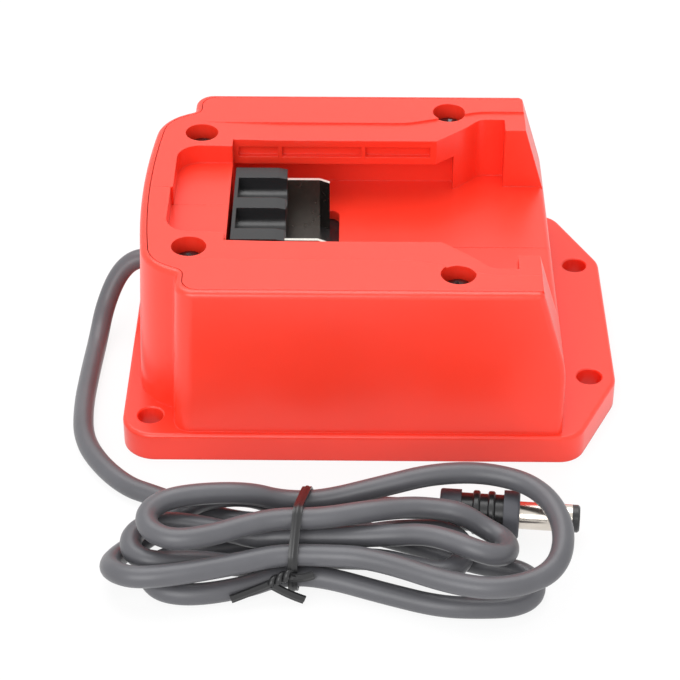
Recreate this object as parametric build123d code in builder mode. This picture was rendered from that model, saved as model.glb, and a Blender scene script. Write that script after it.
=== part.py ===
"""Battery adapter dock with a low-voltage lead.

A slide-on battery dock stands on a four-hole mounting flange. Two rail halves, split along the
middle, close the top of the tub and hold a three-crest terminal block with two blades. A round lead
leaves the closed end, lies on the table in a tied hank and ends in a barrel plug.
Origin: centre of the flange, on the table. +X points out of the open end of the channel, +Z up.
All sizes are millimetres.
"""
from build123d import *
from math import atan, cos, hypot, pi, radians, sin, tan
import os

os.makedirs("parts", exist_ok=True)

# Mounting flange
flange_length = 104.0
flange_width = 84.6
flange_thickness = 6.4
flange_corner_r = 7.0
flange_shoulder_r = 5.8
flange_nose_width = 45.0
flange_shoulder_inset = 9.5
flange_nose_r = 7.0
flange_edge_r = 0.8
flange_hole_d = 5.3
flange_hole_chamfer = 0.25
left_hole_inset = 5.8
left_hole_pitch = 71.0
right_hole_inset = 5.6
right_hole_pitch = 42.2

# Tub walls
deck_height = 40.2
draft_angle = 2.5
rim_width = 1.5
rim_round = 1.2
seam_gap = 0.15
tub_floor = 2.6
end_wall = 2.0
end_face_x = 39.3
end_slant_z = 21.6
deck_end_x = 33.8
end_bend_r = 25.0
end_window_z = 11.0
end_corner_r = 1.2

# Plan outline of the rail insert
insert_width = 76.0
insert_left_x = 45.6
left_bow = 3.0
left_bow_r = 200.0
bulge_width = 62.6
bulge_slope = 27.0
shoulder_x = 38.3
bulge_r = 8.0
notch_r = 2.5
shoulder_r = 3.2

# Rail halves
deck_thickness = 2.6
skirt_wall = 2.0
skirt_depth = 13.2
parting_gap = 0.1
deck_step = 0.4
channel_floor_z = 25.2
channel_floor_thickness = 2.2
rail_thickness = 6.0
rail_gap = 40.0
slot_width = 54.0
slot_wall = 2.0
channel_left_x = -30.8
rail_end_x = 14.0
slot_end_x = 18.0
post_x = 29.4
post_gap = 49.6
mouth_width = 59.0
mouth_wall = 2.2
pocket_drop = 1.7
pocket_height = 2.5
pocket_depth = 1.3
pocket_inset = 0.7
pocket_length = 43.2
pocket_rib = 0.9
pocket_rib_places = (9.6, 28.0)
recess_left_x = -42.6
recess_jog = 0.5
recess_width = 34.2
recess_depth = 4.5
recess_r = 5.0
recess_wall = 2.2
opening_right_x = -7.3
opening_width = 28.6
opening_r = 2.0
end_lip_r = 1.3

# Deck screws
screw_left_x = -37.8
screw_left_pitch = 45.2
screw_right_x = 17.05
screw_right_pitch = 64.2
counterbore_d = 7.2
counterbore_depth = 5.4
boss_wall = 1.6
post_r = 4.0
screw_head_d = 6.0
screw_head_h = 2.2
screw_shank_d = 2.9
screw_length = 19.0
screw_clearance = 0.25
pilot_clearance = 0.05
pilot_spare = 2.0
cross_width = 0.9
cross_length = 3.6
cross_depth = 1.2

# Terminal block and blades
crest_pitch = 12.1
crest_width = 4.1
crest_left_x = -29.9
crest_length = 11.3
crest_drop = 3.8
crest_slope_length = 2.0
crest_slope_drop = 0.4
valley_depth = 5.4
valley_rim = 0.8
block_base_margin = 1.2
block_base_height = 3.4
block_gap = 0.1
blade_y = 11.9
blade_thickness = 0.8
blade_top_drop = 5.3
blade_back_x = -25.8
blade_tip_x = -9.4
blade_bend_length = 2.2
blade_bend = 1.3
blade_slot_gap = 0.05
tab_x = -20.8
tab_width = 2.4
tab_bottom_z = 12.5
pillar_r = 2.0
left_pillar_inset = 2.5
left_pillar_pitch = 26.0
right_pillar_pitch = 12.0

# Lead, its exit and its clamp
cable_d = 4.3
exit_y = 8.5
exit_z = 16.2
exit_gap = 0.2
jacket_end_x = -33.0
saddle_x = -38.5
saddle_length = 6.0
saddle_width = 16.6
clamp_height = 4.0
clamp_split = 0.2
clamp_screw_offset = 5.8
clamp_screw_d = 2.2
clamp_head_d = 4.0
clamp_head_h = 1.5
clamp_screw_length = 9.0
wire_d = 1.7
wire_spread = 0.9
wire_bend_r = 1.6
wire_low_z = 6.6
positive_straight = 3.5
positive_drop_x = 6.0
positive_drop_y = 1.0
negative_straight = 3.0
negative_drop_x = 5.5
negative_drop_y = 2.5
negative_cross_x = 8.0
negative_cross_y = 7.4
sleeve_d = 4.0
sleeve_bore = 2.9
sleeve_low_z = 9.0
sleeve_high_z = 16.0

# Lead's way from the wall to the hank, and the tail's way to the plug
lead_points = [
    (-49.8, 8.5, 16.2), (-52.6, 8.5, 16.2), (-56.6, 7.4, 12.6), (-59.6, 3.6, 6.2),
    (-60.6, -3.4, 2.15), (-61.1, -14.0, 2.15), (-61.4, -27.5, 2.15), (-60.2, -38.5, 2.15),
    (-55.6, -47.2, 2.15), (-49.6, -53.8, 2.15), (-44.5, -56.2, 2.15),
]
tail_points = [(5.3, -62.9, 4.75), (9.1, -62.9, 4.75), (13.4, -63.276, 4.75)]

# Tied hank: it lies along X in front of the dock, and the tie stands at its waist.
# Each strand has a slot at the waist: places across and layers up, in strand pitches.
hank_y = -72.5
tie_x = -14.0
waist_length = 4.0
strand_pitch = 5.0
strand_shift = -0.2
strand_slots = (
    (1.5, 0), (-1.5, 0), (0.5, 0), (-0.5, 0), (0.75, 1), (-0.35, 1), (0.85, 1.98), (-1.5, 1),
    (2, 1),
)
# Each end turn: how far along X it reaches, its back and front edges, its layer
right_turns = (
    (31.0, -0.7, -18.0, 0), (25.0, -3.6, -12.5, 1), (27.0, -5.2, -14.2, 2.02),
    (36.5, 13.5, -23.5, 1.9),
)
left_turns = (
    (-47.0, 5.0, -12.5, 0), (-44.5, 3.4, -8.5, 1), (-44.5, 4.5, -8.0, 2.04),
    (-50.3, 9.3, -17.0, 1),
)
hank_start = ((-44.5, 16.3), (-37.5, 13.0))
hank_end = ((1.0, 9.6), (5.3, 9.6))
strand_bend_r = 14.0
turn_fill = 0.98
run_share = 0.45
least_gap = 0.4

# Twist tie
tie_width = 1.8
tie_thickness = 0.8
tie_slack = 0.15
twist_turn = 50.0
twist_depth = 1.5
twist_steps = 6
twist_start = (-14.2, -83.9, 4.6)
twist_end = (-20.2, -84.9, 3.6)
tie_tails = (
    ((-19.8, -85.0, 3.5), (-28.2, -86.3, 1.7)),
    ((-18.6, -85.2, 3.3), (-12.8, -87.6, 1.1)),
    ((-15.0, -84.3, 4.4), (-10.6, -84.9, 3.3)),
)

# Barrel plug
plug_yaw = -5.0
overmould_d = 9.5
grip_d = 8.8
grip_length = 4.2
ring_length = 8.4
ring_seat_d = 6.6
rib_root_d = 7.6
rib_width = 1.5
rib_places = (3.0, 6.0)
collar_length = 3.2
overmould_edge_r = 0.5
barrel_d = 5.5
barrel_wall = 0.35
barrel_length = 10.4
barrel_root = 6.0
barrel_root_d = 6.1
tip_length = 1.5
contact_bore = 2.1
contact_wall = 0.25
contact_recess = 0.5

# Sizes that follow from the ones above
cable_r = cable_d / 2
insert_half = insert_width / 2
window_half = insert_half + seam_gap
skirt_bottom_z = deck_height - skirt_depth
deck_underside_z = deck_height - deck_thickness
inner_deck_z = deck_height - deck_step
channel_underside_z = channel_floor_z - channel_floor_thickness
rail_bottom_z = inner_deck_z - rail_thickness
recess_floor_z = deck_height - recess_depth
counterbore_floor_z = deck_height - counterbore_depth
base_grow = rim_width + (deck_height - flange_thickness) * tan(radians(draft_angle))
slant_rate = (end_face_x - deck_end_x) / (deck_height - end_slant_z)
crest_top_z = deck_height - crest_drop
lead_start_x = lead_points[0][0]
boss_bottom_z = channel_underside_z
block_base_top_z = channel_underside_z - block_gap
block_base_bottom_z = block_base_top_z - block_base_height
block_left_x = channel_left_x - block_base_margin
block_right_x = opening_right_x + block_base_margin
blade_top_z = deck_height - blade_top_drop
waist_lift = tie_thickness + tie_slack
screw_places = [
    (x, side * pitch / 2)
    for x, pitch in ((screw_left_x, screw_left_pitch), (screw_right_x, screw_right_pitch))
    for side in (-1, 1)
]
far = flange_length
beyond = 1.0


def plan_outline(grow, bulge, notch, shoulder):
    """Plan of the insert, grown outwards; its open end runs past the end face."""
    slope = radians(bulge_slope)
    left = insert_left_x + grow
    side = insert_half + grow
    bulge_side = bulge_width / 2 + grow * (1 - sin(slope)) / cos(slope)
    bulge_end = bulge_side - (insert_left_x - shoulder_x) * tan(slope)
    step_x = shoulder_x + grow
    with BuildSketch() as outline:
        with BuildLine():
            FilletPolyline(
                (far, -side),
                (far, side),
                (-step_x, side),
                (-step_x, bulge_side),
                (-left, bulge_end),
                (-left - left_bow, 0),
                (-left, -bulge_end),
                (-step_x, -bulge_side),
                (-step_x, -side),
                radius=(0, 0, shoulder, notch, bulge, left_bow_r, bulge, notch, shoulder),
                close=True,
            )
        make_face()
    return outline.sketch


def side_profile(inset):
    """Everything left of the sloping end face, seen from the front."""
    rise = far - end_slant_z
    with BuildSketch() as profile:
        with BuildLine():
            FilletPolyline(
                (-far, -beyond),
                (end_face_x - inset, -beyond),
                (end_face_x - inset, end_slant_z),
                (end_face_x - inset - rise * slant_rate, far),
                (-far, far),
                radius=(0, 0, end_bend_r, 0, 0),
                close=True,
            )
        make_face()
    return profile.sketch


def insert_block(grow, inset, low_z, high_z):
    """Straight-sided block with the insert's outline and the sloping end face."""
    with BuildPart() as block:
        with BuildSketch(Plane.XY.offset(low_z)):
            add(plan_outline(grow, bulge_r + grow, notch_r - grow / 2, shoulder_r + grow / 2))
        extrude(amount=high_z - low_z)
        with BuildSketch(Plane.XZ):
            add(side_profile(inset))
        extrude(amount=far, both=True, mode=Mode.INTERSECT)
    return block.part


def tub_block():
    """Outside of the tub: drafted walls, sloping end face, rounded rim."""
    shell_bulge = bulge_r + 2 * rim_width
    shell_notch = notch_r / 2
    shell_shoulder = shoulder_r + rim_width / 2
    with BuildPart() as block:
        with BuildSketch(Plane.XY.offset(flange_thickness)):
            add(plan_outline(base_grow, shell_bulge, shell_notch, shell_shoulder))
        with BuildSketch(Plane.XY.offset(deck_height)):
            add(plan_outline(rim_width, shell_bulge, shell_notch, shell_shoulder))
        loft(ruled=True)
        rim = block.faces().sort_by(Axis.Z)[-1].edges()
        fillet(rim.filter_by(lambda e: e.center().X < deck_end_x + beyond), radius=rim_round)
        with BuildSketch(Plane.XZ):
            add(side_profile(0))
        extrude(amount=far, both=True, mode=Mode.INTERSECT)
        corners = block.edges().filter_by(
            lambda e: e.center().X > deck_end_x and abs(e.center().Y) > insert_half
            and flange_thickness + beyond < e.center().Z < deck_height - beyond
        )
        fillet(corners, radius=end_corner_r)
    return block.part


# Tub with its mounting flange, screw posts, block pillars and lead saddle
nose_half = flange_nose_width / 2
flange_half = flange_width / 2
flange_half_length = flange_length / 2
with BuildPart() as base_housing:
    with BuildSketch():
        with BuildLine():
            FilletPolyline(
                (-flange_half_length, -flange_half),
                (flange_half_length - flange_shoulder_inset, -flange_half),
                (flange_half_length, -nose_half),
                (flange_half_length, nose_half),
                (flange_half_length - flange_shoulder_inset, flange_half),
                (-flange_half_length, flange_half),
                radius=(flange_corner_r, flange_shoulder_r, flange_nose_r,
                        flange_nose_r, flange_shoulder_r, flange_corner_r),
                close=True,
            )
        make_face()
    extrude(amount=flange_thickness)
    fillet(base_housing.faces().sort_by(Axis.Z)[-1].edges(), radius=flange_edge_r)
    add(tub_block())
    add(insert_block(seam_gap, end_wall, tub_floor, deck_height + beyond), mode=Mode.SUBTRACT)
    with BuildSketch(Plane.YZ.offset(end_face_x - end_wall - beyond)):
        with Locations((0, end_window_z)):
            Rectangle(2 * window_half, far, align=(Align.CENTER, Align.MIN))
    extrude(amount=far, mode=Mode.SUBTRACT)
    with BuildSketch(Plane.XZ):
        with Locations((deck_end_x - end_wall - 2 * beyond, end_slant_z)):
            Rectangle(far, far, align=(Align.MIN, Align.MIN))
    extrude(amount=window_half, both=True, mode=Mode.SUBTRACT)
    with BuildSketch(Plane.XY.offset(tub_floor)):
        with Locations(*screw_places):
            Circle(post_r)
    extrude(amount=boss_bottom_z - tub_floor)
    with BuildSketch(Plane.XY.offset(tub_floor)):
        with Locations((opening_right_x, 0)):
            with GridLocations(0, right_pillar_pitch, 1, 2):
                Circle(pillar_r)
        with Locations((block_left_x + left_pillar_inset, 0)):
            with GridLocations(0, left_pillar_pitch, 1, 2):
                Circle(pillar_r)
    extrude(amount=block_base_bottom_z - tub_floor)
    with BuildSketch(Plane.XY.offset(tub_floor)):
        with Locations((saddle_x, exit_y)):
            Rectangle(saddle_length, saddle_width)
    extrude(amount=exit_z - clamp_split / 2 - tub_floor)
    with BuildSketch(Plane.YZ.offset(lead_start_x - beyond)):
        with Locations((exit_y, exit_z)):
            Circle(cable_r + exit_gap)
    extrude(amount=-lead_start_x + beyond + saddle_x - saddle_length, mode=Mode.SUBTRACT)
    with BuildSketch(Plane.YZ.offset(saddle_x - saddle_length)):
        with Locations((exit_y, exit_z)):
            Circle(cable_r)
    extrude(amount=2 * saddle_length, mode=Mode.SUBTRACT)
    with BuildSketch(Plane.XY.offset(boss_bottom_z)):
        with Locations(*screw_places):
            Circle(screw_shank_d / 2 + pilot_clearance)
    extrude(amount=counterbore_floor_z - screw_length - pilot_spare - boss_bottom_z,
            mode=Mode.SUBTRACT)
    with BuildSketch(Plane.XY.offset(exit_z)):
        with Locations((saddle_x, exit_y)):
            with GridLocations(0, 2 * clamp_screw_offset, 1, 2):
                Circle(clamp_screw_d / 2 + pilot_clearance)
    extrude(amount=clamp_height - clamp_screw_length - pilot_spare, mode=Mode.SUBTRACT)
    left_hole_x = -flange_half_length + left_hole_inset
    right_hole_x = flange_half_length - right_hole_inset
    with BuildSketch(Plane.XY.offset(-beyond)):
        with Locations((left_hole_x, -left_hole_pitch / 2), (left_hole_x, left_hole_pitch / 2),
                       (right_hole_x, -right_hole_pitch / 2), (right_hole_x, right_hole_pitch / 2)):
            Circle(flange_hole_d / 2)
    extrude(amount=flange_thickness + 2 * beyond, mode=Mode.SUBTRACT)
    hole_rims = base_housing.edges().filter_by(GeomType.CIRCLE).filter_by(
        lambda e: abs(e.center().Z - flange_thickness) < 0.01
        and abs(e.radius - flange_hole_d / 2) < 0.01
    )
    chamfer(hole_rims, length=flange_hole_chamfer)
base_housing.part.label = "base_housing"
export_step(base_housing.part, "parts/base_housing.step")

# Back rail half: deck, skirt, channel wall, undercut rail, mouth and end post
mouth_half = mouth_width / 2
trough_half = slot_width / 2 + slot_wall
mouth_trough_half = mouth_half + mouth_wall
boss_r = counterbore_d / 2 + boss_wall
with BuildPart() as rail_half_back:
    add(insert_block(0, 0, skirt_bottom_z, deck_height))
    add(insert_block(-skirt_wall, skirt_wall, skirt_bottom_z - beyond, deck_underside_z),
        mode=Mode.SUBTRACT)
    # End wall below the channel lip
    with BuildSketch(Plane.XY.offset(end_window_z + seam_gap)):
        with Locations((end_face_x - skirt_wall, 0)):
            Rectangle(skirt_wall, insert_width, align=(Align.MIN, Align.CENTER))
    extrude(amount=skirt_bottom_z + beyond - end_window_z - seam_gap)
    # Channel trough, wider at the mouth
    with BuildSketch(Plane.XY.offset(channel_underside_z)):
        with Locations((channel_left_x - slot_wall, 0)):
            Rectangle(-channel_left_x + 3 * slot_wall + slot_end_x, 2 * trough_half,
                      align=(Align.MIN, Align.CENTER))
        with Locations((slot_end_x + 2 * slot_wall, 0)):
            Rectangle(end_face_x - slot_end_x - 2 * slot_wall, 2 * mouth_trough_half,
                      align=(Align.MIN, Align.CENTER))
    extrude(amount=deck_height - channel_underside_z - deck_step)
    # Left recess tray
    with BuildSketch(Plane.XY.offset(recess_floor_z - recess_wall)):
        with Locations((recess_left_x - recess_wall, 0)):
            Rectangle(channel_left_x - recess_left_x + recess_wall, recess_width + 2 * recess_wall,
                      align=(Align.MIN, Align.CENTER))
    extrude(amount=recess_wall + recess_depth - deck_step)
    # Screw bosses
    with BuildSketch(Plane.XY.offset(boss_bottom_z)):
        with Locations(*screw_places):
            Circle(boss_r)
    extrude(amount=deck_underside_z - boss_bottom_z)
    # Back half only, within the sloping end
    with BuildSketch(Plane.XZ):
        add(side_profile(0))
    extrude(amount=far, both=True, mode=Mode.INTERSECT)
    with BuildSketch(Plane.XY):
        with Locations((0, parting_gap / 2)):
            Rectangle(2 * far, far, align=(Align.CENTER, Align.MIN))
    extrude(amount=far, mode=Mode.INTERSECT)
    # Channel between the rails, undercut slot and flared mouth
    with BuildSketch(Plane.XY.offset(rail_bottom_z)):
        with Locations((channel_left_x, 0)):
            Rectangle(far, rail_gap, align=(Align.MIN, Align.CENTER))
    extrude(amount=far, mode=Mode.SUBTRACT)
    with BuildSketch(Plane.XY.offset(channel_floor_z)):
        with Locations((channel_left_x, 0)):
            Rectangle(slot_end_x - channel_left_x, slot_width, align=(Align.MIN, Align.CENTER))
    extrude(amount=rail_bottom_z - channel_floor_z, mode=Mode.SUBTRACT)
    flare = (mouth_width - rail_gap) / 2
    with BuildSketch(Plane.XY.offset(channel_floor_z)):
        with BuildLine():
            Polyline((far, 0), (rail_end_x, 0), (rail_end_x, rail_gap / 2))
            Line((rail_end_x, rail_gap / 2), (rail_end_x + 0.6 * flare, rail_gap / 2 + 0.52 * flare))
            Spline(
                (rail_end_x + 0.6 * flare, rail_gap / 2 + 0.52 * flare),
                (rail_end_x + 0.85 * flare, rail_gap / 2 + 0.78 * flare),
                (post_x - 0.4 * flare, mouth_half),
                tangents=((1, 0.85), (1, 0)),
            )
            Polyline((post_x - 0.4 * flare, mouth_half), (post_x, mouth_half),
                     (post_x, post_gap / 2), (far, post_gap / 2), (far, 0))
        make_face()
    extrude(amount=far, mode=Mode.SUBTRACT)
    # Recess, terminal opening and rail pockets
    with BuildSketch(Plane.XY.offset(recess_floor_z)):
        with Locations((recess_left_x, 0)):
            RectangleRounded(2 * far, recess_width, recess_r, align=(Align.MIN, Align.CENTER))
        with Locations((channel_left_x, 0)):
            Rectangle(3 * far, recess_width, align=(Align.MIN, Align.CENTER), mode=Mode.SUBTRACT)
    extrude(amount=far, mode=Mode.SUBTRACT)
    with BuildSketch(Plane.XY.offset(channel_underside_z - beyond)):
        with Locations((channel_left_x, 0)):
            Rectangle(opening_right_x - channel_left_x, opening_width,
                      align=(Align.MIN, Align.CENTER))
        fillet(vertices(Select.LAST).sort_by(Axis.X)[-2:], radius=opening_r)
    extrude(amount=recess_floor_z - channel_underside_z, mode=Mode.SUBTRACT)
    pocket_left_x = channel_left_x + pocket_inset
    pocket_marks = (0,) + pocket_rib_places + (pocket_length,)
    for low, high in zip(pocket_marks[:-1], pocket_marks[1:]):
        with BuildSketch(Plane.XZ.offset(-rail_gap / 2)):
            with Locations((pocket_left_x + low + pocket_rib / 2, inner_deck_z - pocket_drop)):
                Rectangle(high - low - pocket_rib, pocket_height, align=(Align.MIN, Align.MAX))
        extrude(amount=-pocket_depth, mode=Mode.SUBTRACT)
    # Shallow step: the deck beside the channel lies lower, and the step fades at the left
    with BuildPart(mode=Mode.SUBTRACT):
        with BuildSketch(Plane.XY.offset(deck_height - deck_step)):
            with BuildLine():
                FilletPolyline(
                    (channel_left_x - 8, 0), (far, 0),
                    (far, slot_width / 2 + 5.4), (24.0, slot_width / 2 + 5.4),
                    (8.0, slot_width / 2 + 0.2), (channel_left_x - 8, slot_width / 2 + 0.2),
                    radius=(0, 0, 0, 12, 12, 0), close=True,
                )
            make_face()
        extrude(amount=2 * deck_step)
        with BuildSketch(Plane.XZ):
            with BuildLine():
                Polyline((channel_left_x - 8, deck_height), (channel_left_x + 10, inner_deck_z),
                         (far, inner_deck_z), (far, deck_height + deck_step),
                         (channel_left_x - 8, deck_height + deck_step), close=True)
            make_face()
        extrude(amount=far, both=True, mode=Mode.INTERSECT)
    # Counterbores and screw holes
    with BuildSketch(Plane.XY.offset(counterbore_floor_z)):
        with Locations(*screw_places):
            Circle(counterbore_d / 2)
    extrude(amount=far, mode=Mode.SUBTRACT)
    with BuildSketch(Plane.XY.offset(boss_bottom_z - beyond)):
        with Locations(*screw_places):
            Circle(screw_shank_d / 2 + screw_clearance)
    extrude(amount=counterbore_floor_z, mode=Mode.SUBTRACT)
    # Rounded lip of the channel floor at the open end
    slant = atan(slant_rate)
    lip_run = end_lip_r / tan((pi / 2 + slant) / 2)
    lip_x = end_face_x - slant_rate * (channel_floor_z - end_slant_z)
    lip_start = (lip_x - lip_run, channel_floor_z)
    lip_end = (lip_x + lip_run * sin(slant), channel_floor_z - lip_run * cos(slant))
    with BuildSketch(Plane.XZ):
        with BuildLine():
            TangentArc(lip_start, lip_end, tangent=(1, 0))
            Polyline(lip_end, (far, lip_end[1]), (far, channel_floor_z + beyond),
                     (lip_start[0], channel_floor_z + beyond), lip_start)
        make_face()
    extrude(amount=-post_gap / 2, mode=Mode.SUBTRACT)
rail_half_back.part.label = "rail_half_back"
export_step(rail_half_back.part, "parts/rail_half_back.step")

# Front rail half: the mirror image, with its recess cut a little further
with BuildPart() as rail_half_front:
    mirror(rail_half_back.part, about=Plane.XZ)
    with BuildSketch(Plane.XY.offset(recess_floor_z)):
        with Locations((recess_left_x - recess_jog, 0)):
            RectangleRounded(2 * far, recess_width, recess_r, align=(Align.MIN, Align.CENTER))
        with Locations((channel_left_x, 0)):
            Rectangle(3 * far, recess_width, align=(Align.MIN, Align.CENTER), mode=Mode.SUBTRACT)
    extrude(amount=far, mode=Mode.SUBTRACT)
rail_half_front.part.label = "rail_half_front"
export_step(rail_half_front.part, "parts/rail_half_front.step")

# Deck screws: cross-slotted pan heads on plain shanks
for number, (x, y) in enumerate(screw_places, start=1):
    with BuildPart() as deck_screw:
        with BuildSketch(Plane.XY.offset(counterbore_floor_z)):
            with Locations((x, y)):
                Circle(screw_head_d / 2)
        extrude(amount=screw_head_h)
        fillet(deck_screw.edges().sort_by(Axis.Z)[-1], radius=screw_head_h / 3)
        with BuildSketch(Plane.XY.offset(counterbore_floor_z + screw_head_h)):
            with Locations((x, y)):
                Rectangle(cross_length, cross_width)
                Rectangle(cross_width, cross_length)
        extrude(amount=-cross_depth, mode=Mode.SUBTRACT)
        with BuildSketch(Plane.XY.offset(counterbore_floor_z)):
            with Locations((x, y)):
                Circle(screw_shank_d / 2)
        extrude(amount=-screw_length)
        chamfer(deck_screw.edges().sort_by(Axis.Z)[0], length=screw_shank_d / 4)
    deck_screw.part.label = f"deck_screw_{number}"
    export_step(deck_screw.part, f"parts/deck_screw_{number}.step")

# Terminal block: a plate under the channel floor that carries three crests
crest_right_x = crest_left_x + crest_length
valley_r = (crest_pitch - crest_width) / 2
with BuildPart() as terminal_block:
    with BuildSketch(Plane.XZ):
        with BuildLine():
            Polyline(
                (crest_left_x, block_base_top_z),
                (crest_right_x, block_base_top_z),
                (crest_right_x, crest_top_z - crest_slope_drop),
                (crest_right_x - crest_slope_length, crest_top_z),
                (crest_left_x, crest_top_z),
                close=True,
            )
        make_face()
    extrude(amount=crest_pitch + crest_width / 2, both=True)
    # Round-bottomed valleys, closed at the left by a thin rim
    with BuildSketch(Plane.YZ.offset(crest_left_x + valley_rim)):
        with Locations((0, crest_top_z - valley_depth + valley_r)):
            with GridLocations(crest_pitch, 0, 2, 1):
                Circle(valley_r)
                Rectangle(2 * valley_r, far, align=(Align.CENTER, Align.MIN))
    extrude(amount=crest_length, mode=Mode.SUBTRACT)
    with BuildSketch(Plane.XY.offset(block_base_bottom_z)):
        with Locations((block_left_x, 0)):
            Rectangle(block_right_x - block_left_x, opening_width + 2 * block_base_margin,
                      align=(Align.MIN, Align.CENTER))
    extrude(amount=block_base_height)
    for side in (-1, 1):
        with BuildSketch(Plane.XZ.offset(-side * blade_y)):
            with Locations((blade_back_x - blade_slot_gap, block_base_top_z)):
                Rectangle(far, blade_top_z + blade_slot_gap - block_base_top_z,
                          align=(Align.MIN, Align.MIN))
            with Locations((tab_x, block_base_top_z)):
                Rectangle(tab_width + 2 * blade_slot_gap, 2 * block_base_height + beyond)
        extrude(amount=blade_thickness / 2 + blade_slot_gap, both=True, mode=Mode.SUBTRACT)
terminal_block.part.label = "terminal_block"
export_step(terminal_block.part, "parts/terminal_block.step")


def blade(y):
    """Upright contact blade with a bent tip and a solder tab."""
    half = blade_thickness / 2
    bend_x = blade_tip_x - blade_bend_length
    with BuildPart() as piece:
        with BuildSketch(Plane.XY.offset(tab_bottom_z)):
            with BuildLine():
                Polyline(
                    (blade_back_x, y - half),
                    (bend_x, y - half),
                    (blade_tip_x, y - half - blade_bend),
                    (blade_tip_x, y + half - blade_bend),
                    (bend_x, y + half),
                    (blade_back_x, y + half),
                    close=True,
                )
            make_face()
        extrude(amount=blade_top_z - tab_bottom_z)
        with BuildSketch(Plane.XZ):
            with Locations((blade_back_x, block_base_top_z)):
                Rectangle(far, far, align=(Align.MIN, Align.MIN))
            with Locations((tab_x, tab_bottom_z)):
                Rectangle(tab_width, far, align=(Align.CENTER, Align.MIN))
        extrude(amount=far, both=True, mode=Mode.INTERSECT)
    return piece.part


with BuildPart() as blade_positive:
    add(blade(blade_y))
blade_positive.part.label = "blade_positive"
export_step(blade_positive.part, "parts/blade_positive.step")

with BuildPart() as blade_negative:
    add(blade(-blade_y))
blade_negative.part.label = "blade_negative"
export_step(blade_negative.part, "parts/blade_negative.step")

# Clamp bar over the lead, with its two screws
clamp_bottom_z = exit_z + clamp_split / 2
clamp_top_z = exit_z + clamp_height
clamp_screw_places = [(saddle_x, exit_y + side * clamp_screw_offset) for side in (-1, 1)]
with BuildPart() as cord_clamp:
    with BuildSketch(Plane.XY.offset(clamp_bottom_z)):
        with Locations((saddle_x, exit_y)):
            Rectangle(saddle_length, saddle_width)
    extrude(amount=clamp_top_z - clamp_bottom_z)
    chamfer(cord_clamp.faces().sort_by(Axis.Z)[-1].edges(), length=clamp_split)
    with BuildSketch(Plane.YZ.offset(saddle_x)):
        with Locations((exit_y, exit_z)):
            Circle(cable_r)
    extrude(amount=saddle_length, both=True, mode=Mode.SUBTRACT)
    with BuildSketch(Plane.XY.offset(clamp_bottom_z)):
        with Locations(*clamp_screw_places):
            Circle(clamp_screw_d / 2 + pilot_clearance)
    extrude(amount=clamp_height, mode=Mode.SUBTRACT)
cord_clamp.part.label = "cord_clamp"
export_step(cord_clamp.part, "parts/cord_clamp.step")

for number, (x, y) in enumerate(clamp_screw_places, start=1):
    with BuildPart() as clamp_screw:
        with BuildSketch(Plane.XY.offset(clamp_top_z)):
            with Locations((x, y)):
                Circle(clamp_head_d / 2)
        extrude(amount=clamp_head_h)
        fillet(clamp_screw.edges().sort_by(Axis.Z)[-1], radius=clamp_head_h / 3)
        with BuildSketch(Plane.XY.offset(clamp_top_z)):
            with Locations((x, y)):
                Circle(clamp_screw_d / 2)
        extrude(amount=-clamp_screw_length)
    clamp_screw.part.label = f"clamp_screw_{number}"
    export_step(clamp_screw.part, f"parts/clamp_screw_{number}.step")


def turn_at(points, n):
    """Angle, in radians, by which a route turns at one of its points."""
    arriving = Vector(*points[n]) - Vector(*points[n - 1])
    leaving = Vector(*points[n + 1]) - Vector(*points[n])
    return radians(arriving.get_angle(leaving))


def bend_radii(points, largest):
    """Arc radii that use the same share of the shorter run at each point."""
    radii = []
    for n in range(1, len(points) - 1):
        before = (Vector(*points[n]) - Vector(*points[n - 1])).length
        after = (Vector(*points[n + 1]) - Vector(*points[n])).length
        radius = run_share * min(before, after) / tan(turn_at(points, n) / 2)
        radii.append(min(radius, largest))
    return radii


def tube(name, points, radii, diameter):
    """Round tube along straight runs joined by tangent arcs."""
    with BuildPart() as piece:
        with BuildLine() as path:
            FilletPolyline(*points, radius=radii)
        start = Plane(origin=path.wire() @ 0, z_dir=path.wire() % 0)
        with BuildSketch(start):
            Circle(diameter / 2)
        sweep(path=path.wire())
    length = path.wire().length
    share = piece.part.volume / (length * pi * diameter ** 2 / 4)
    print(f"{name}: length {length:.1f}, volume share {share:.3f}, least radius {min(radii):.1f},",
          f"lowest point {piece.part.bounding_box().min.Z:.3f}")
    return piece.part, path.wire()


# Stripped lead end, its two wires and their sleeves
with BuildPart() as cable_inner:
    with BuildSketch(Plane.YZ.offset(lead_start_x)):
        with Locations((exit_y, exit_z)):
            Circle(cable_r)
    extrude(amount=jacket_end_x - lead_start_x)
cable_inner.part.label = "cable_inner"
export_step(cable_inner.part, "parts/cable_inner.step")

wire_positive_points = [
    (jacket_end_x, exit_y + wire_spread, exit_z),
    (jacket_end_x + positive_straight, exit_y + wire_spread, exit_z),
    (jacket_end_x + positive_drop_x, exit_y + wire_spread + positive_drop_y, wire_low_z),
    (tab_x, blade_y, wire_low_z),
    (tab_x, blade_y, tab_bottom_z),
]
wire_negative_points = [
    (jacket_end_x, exit_y - wire_spread, exit_z),
    (jacket_end_x + negative_straight, exit_y - wire_spread, exit_z),
    (jacket_end_x + negative_drop_x, exit_y - wire_spread - negative_drop_y, wire_low_z),
    (jacket_end_x + negative_cross_x, -negative_cross_y, wire_low_z),
    (tab_x, -blade_y, wire_low_z),
    (tab_x, -blade_y, tab_bottom_z),
]
with BuildPart() as wire_positive:
    add(tube("wire_positive", wire_positive_points, [wire_bend_r] * 3, wire_d)[0])
wire_positive.part.label = "wire_positive"
export_step(wire_positive.part, "parts/wire_positive.step")

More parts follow.
